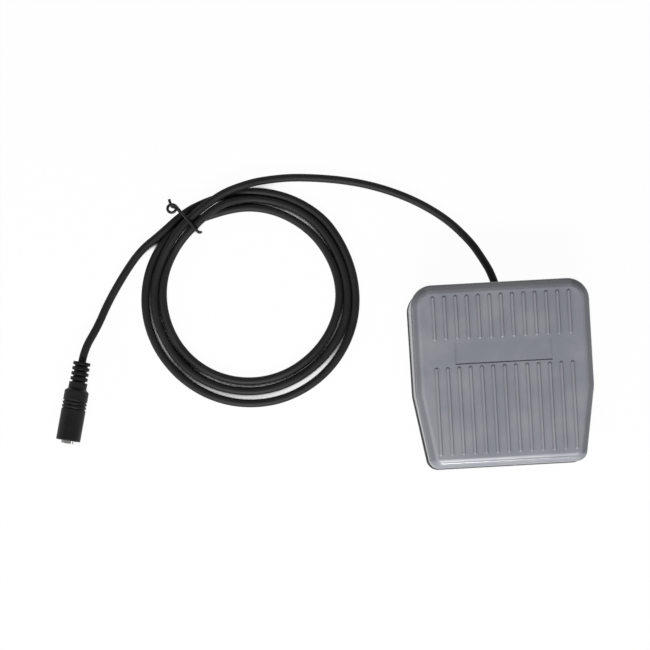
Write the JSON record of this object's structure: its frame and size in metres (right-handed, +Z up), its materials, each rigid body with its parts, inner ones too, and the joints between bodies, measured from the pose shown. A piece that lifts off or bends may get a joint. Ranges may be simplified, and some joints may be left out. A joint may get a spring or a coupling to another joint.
{
  "type": "foot switch",
  "caption": "Push-to-talk foot switch: a ribbed treadle on a base with a microswitch inside, a tied cord, and an inline socket on its end.",
  "frame": {"origin": "on the floor, under the middle of the base", "axes": "+Z up out of the treadle; -Y towards the front edge that is pressed down; the cord leaves the rear, towards +Y, and its tied coil lies towards -X"},
  "size_m": [0.2999, 0.1739, 0.0322],
  "materials": {
    "cover_plastic": "satin",
    "base_plastic": "satin",
    "black_rubber": "matt",
    "cord_jacket": "satin",
    "tie_wire": "satin",
    "bright_steel": "satin",
    "switch_plastic": "matt",
    "switch_cover_plastic": "matt",
    "plunger_plastic": "satin",
    "terminal_brass": "satin",
    "wire_red": "satin",
    "wire_white": "satin",
    "socket_plastic": "satin",
    "socket_nickel": "polished",
    "insulator_plastic": "matt"
  },
  "bodies": {
    "housing": {"base_housing": "base_plastic", "bracket_screws": "bright_steel", "cable_clamp": "base_plastic", "cable_grommet": "black_rubber", "clamp_screws": "bright_steel", "cord_coil": "cord_jacket", "cord_inner": "cord_jacket", "cord_lead": "cord_jacket", "cord_tail": "cord_jacket", "cord_tie": "tie_wire", "lever_pin": "bright_steel", "return_spring_left": "bright_steel", "return_spring_right": "bright_steel", "rubber_mat": "black_rubber", "socket_body": "socket_plastic", "socket_insulator": "insulator_plastic", "socket_sleeve": "socket_nickel", "switch_bracket": "bright_steel", "switch_case": "switch_plastic", "switch_cover": "switch_cover_plastic", "switch_nuts": "bright_steel", "switch_screws": "bright_steel", "terminal_closed": "terminal_brass", "terminal_common": "terminal_brass", "terminal_open": "terminal_brass", "tip_contact": "socket_nickel", "travel_bumpers": "black_rubber", "wire_common": "wire_red", "wire_open": "wire_white"},
    "treadle": {"pedal_cover": "cover_plastic", "hinge_pin": "bright_steel"},
    "lever": {"switch_lever": "bright_steel"},
    "plunger": {"switch_plunger": "plunger_plastic"}
  },
  "joints": [
    {"name": "treadle_hinge", "type": "hinge", "parent": "housing", "child": "treadle", "pos_m": [0, 0.038, 0.014], "axis": [1, 0, 0], "range_deg": [0, 4], "stiffness_Nm_per_rad": 4, "springref_deg": -5.73, "deforming": ["return_spring_left", "return_spring_right"]},
    {"name": "lever_pivot", "type": "hinge", "parent": "housing", "child": "lever", "pos_m": [0, 0.0126, 0.0182], "axis": [1, 0, 0], "range_deg": [0, 10.6]},
    {"name": "plunger_slide", "type": "slide", "parent": "housing", "child": "plunger", "axis": [0, 0, -1], "range_m": [0, 0.00075]}
  ],
  "couplings": [
    {"joint": "lever_pivot", "follows": "treadle_hinge", "ratio": 2.6282},
    {"joint": "plunger_slide", "follows": "treadle_hinge", "m_per_rad": 0.01}
  ]
}
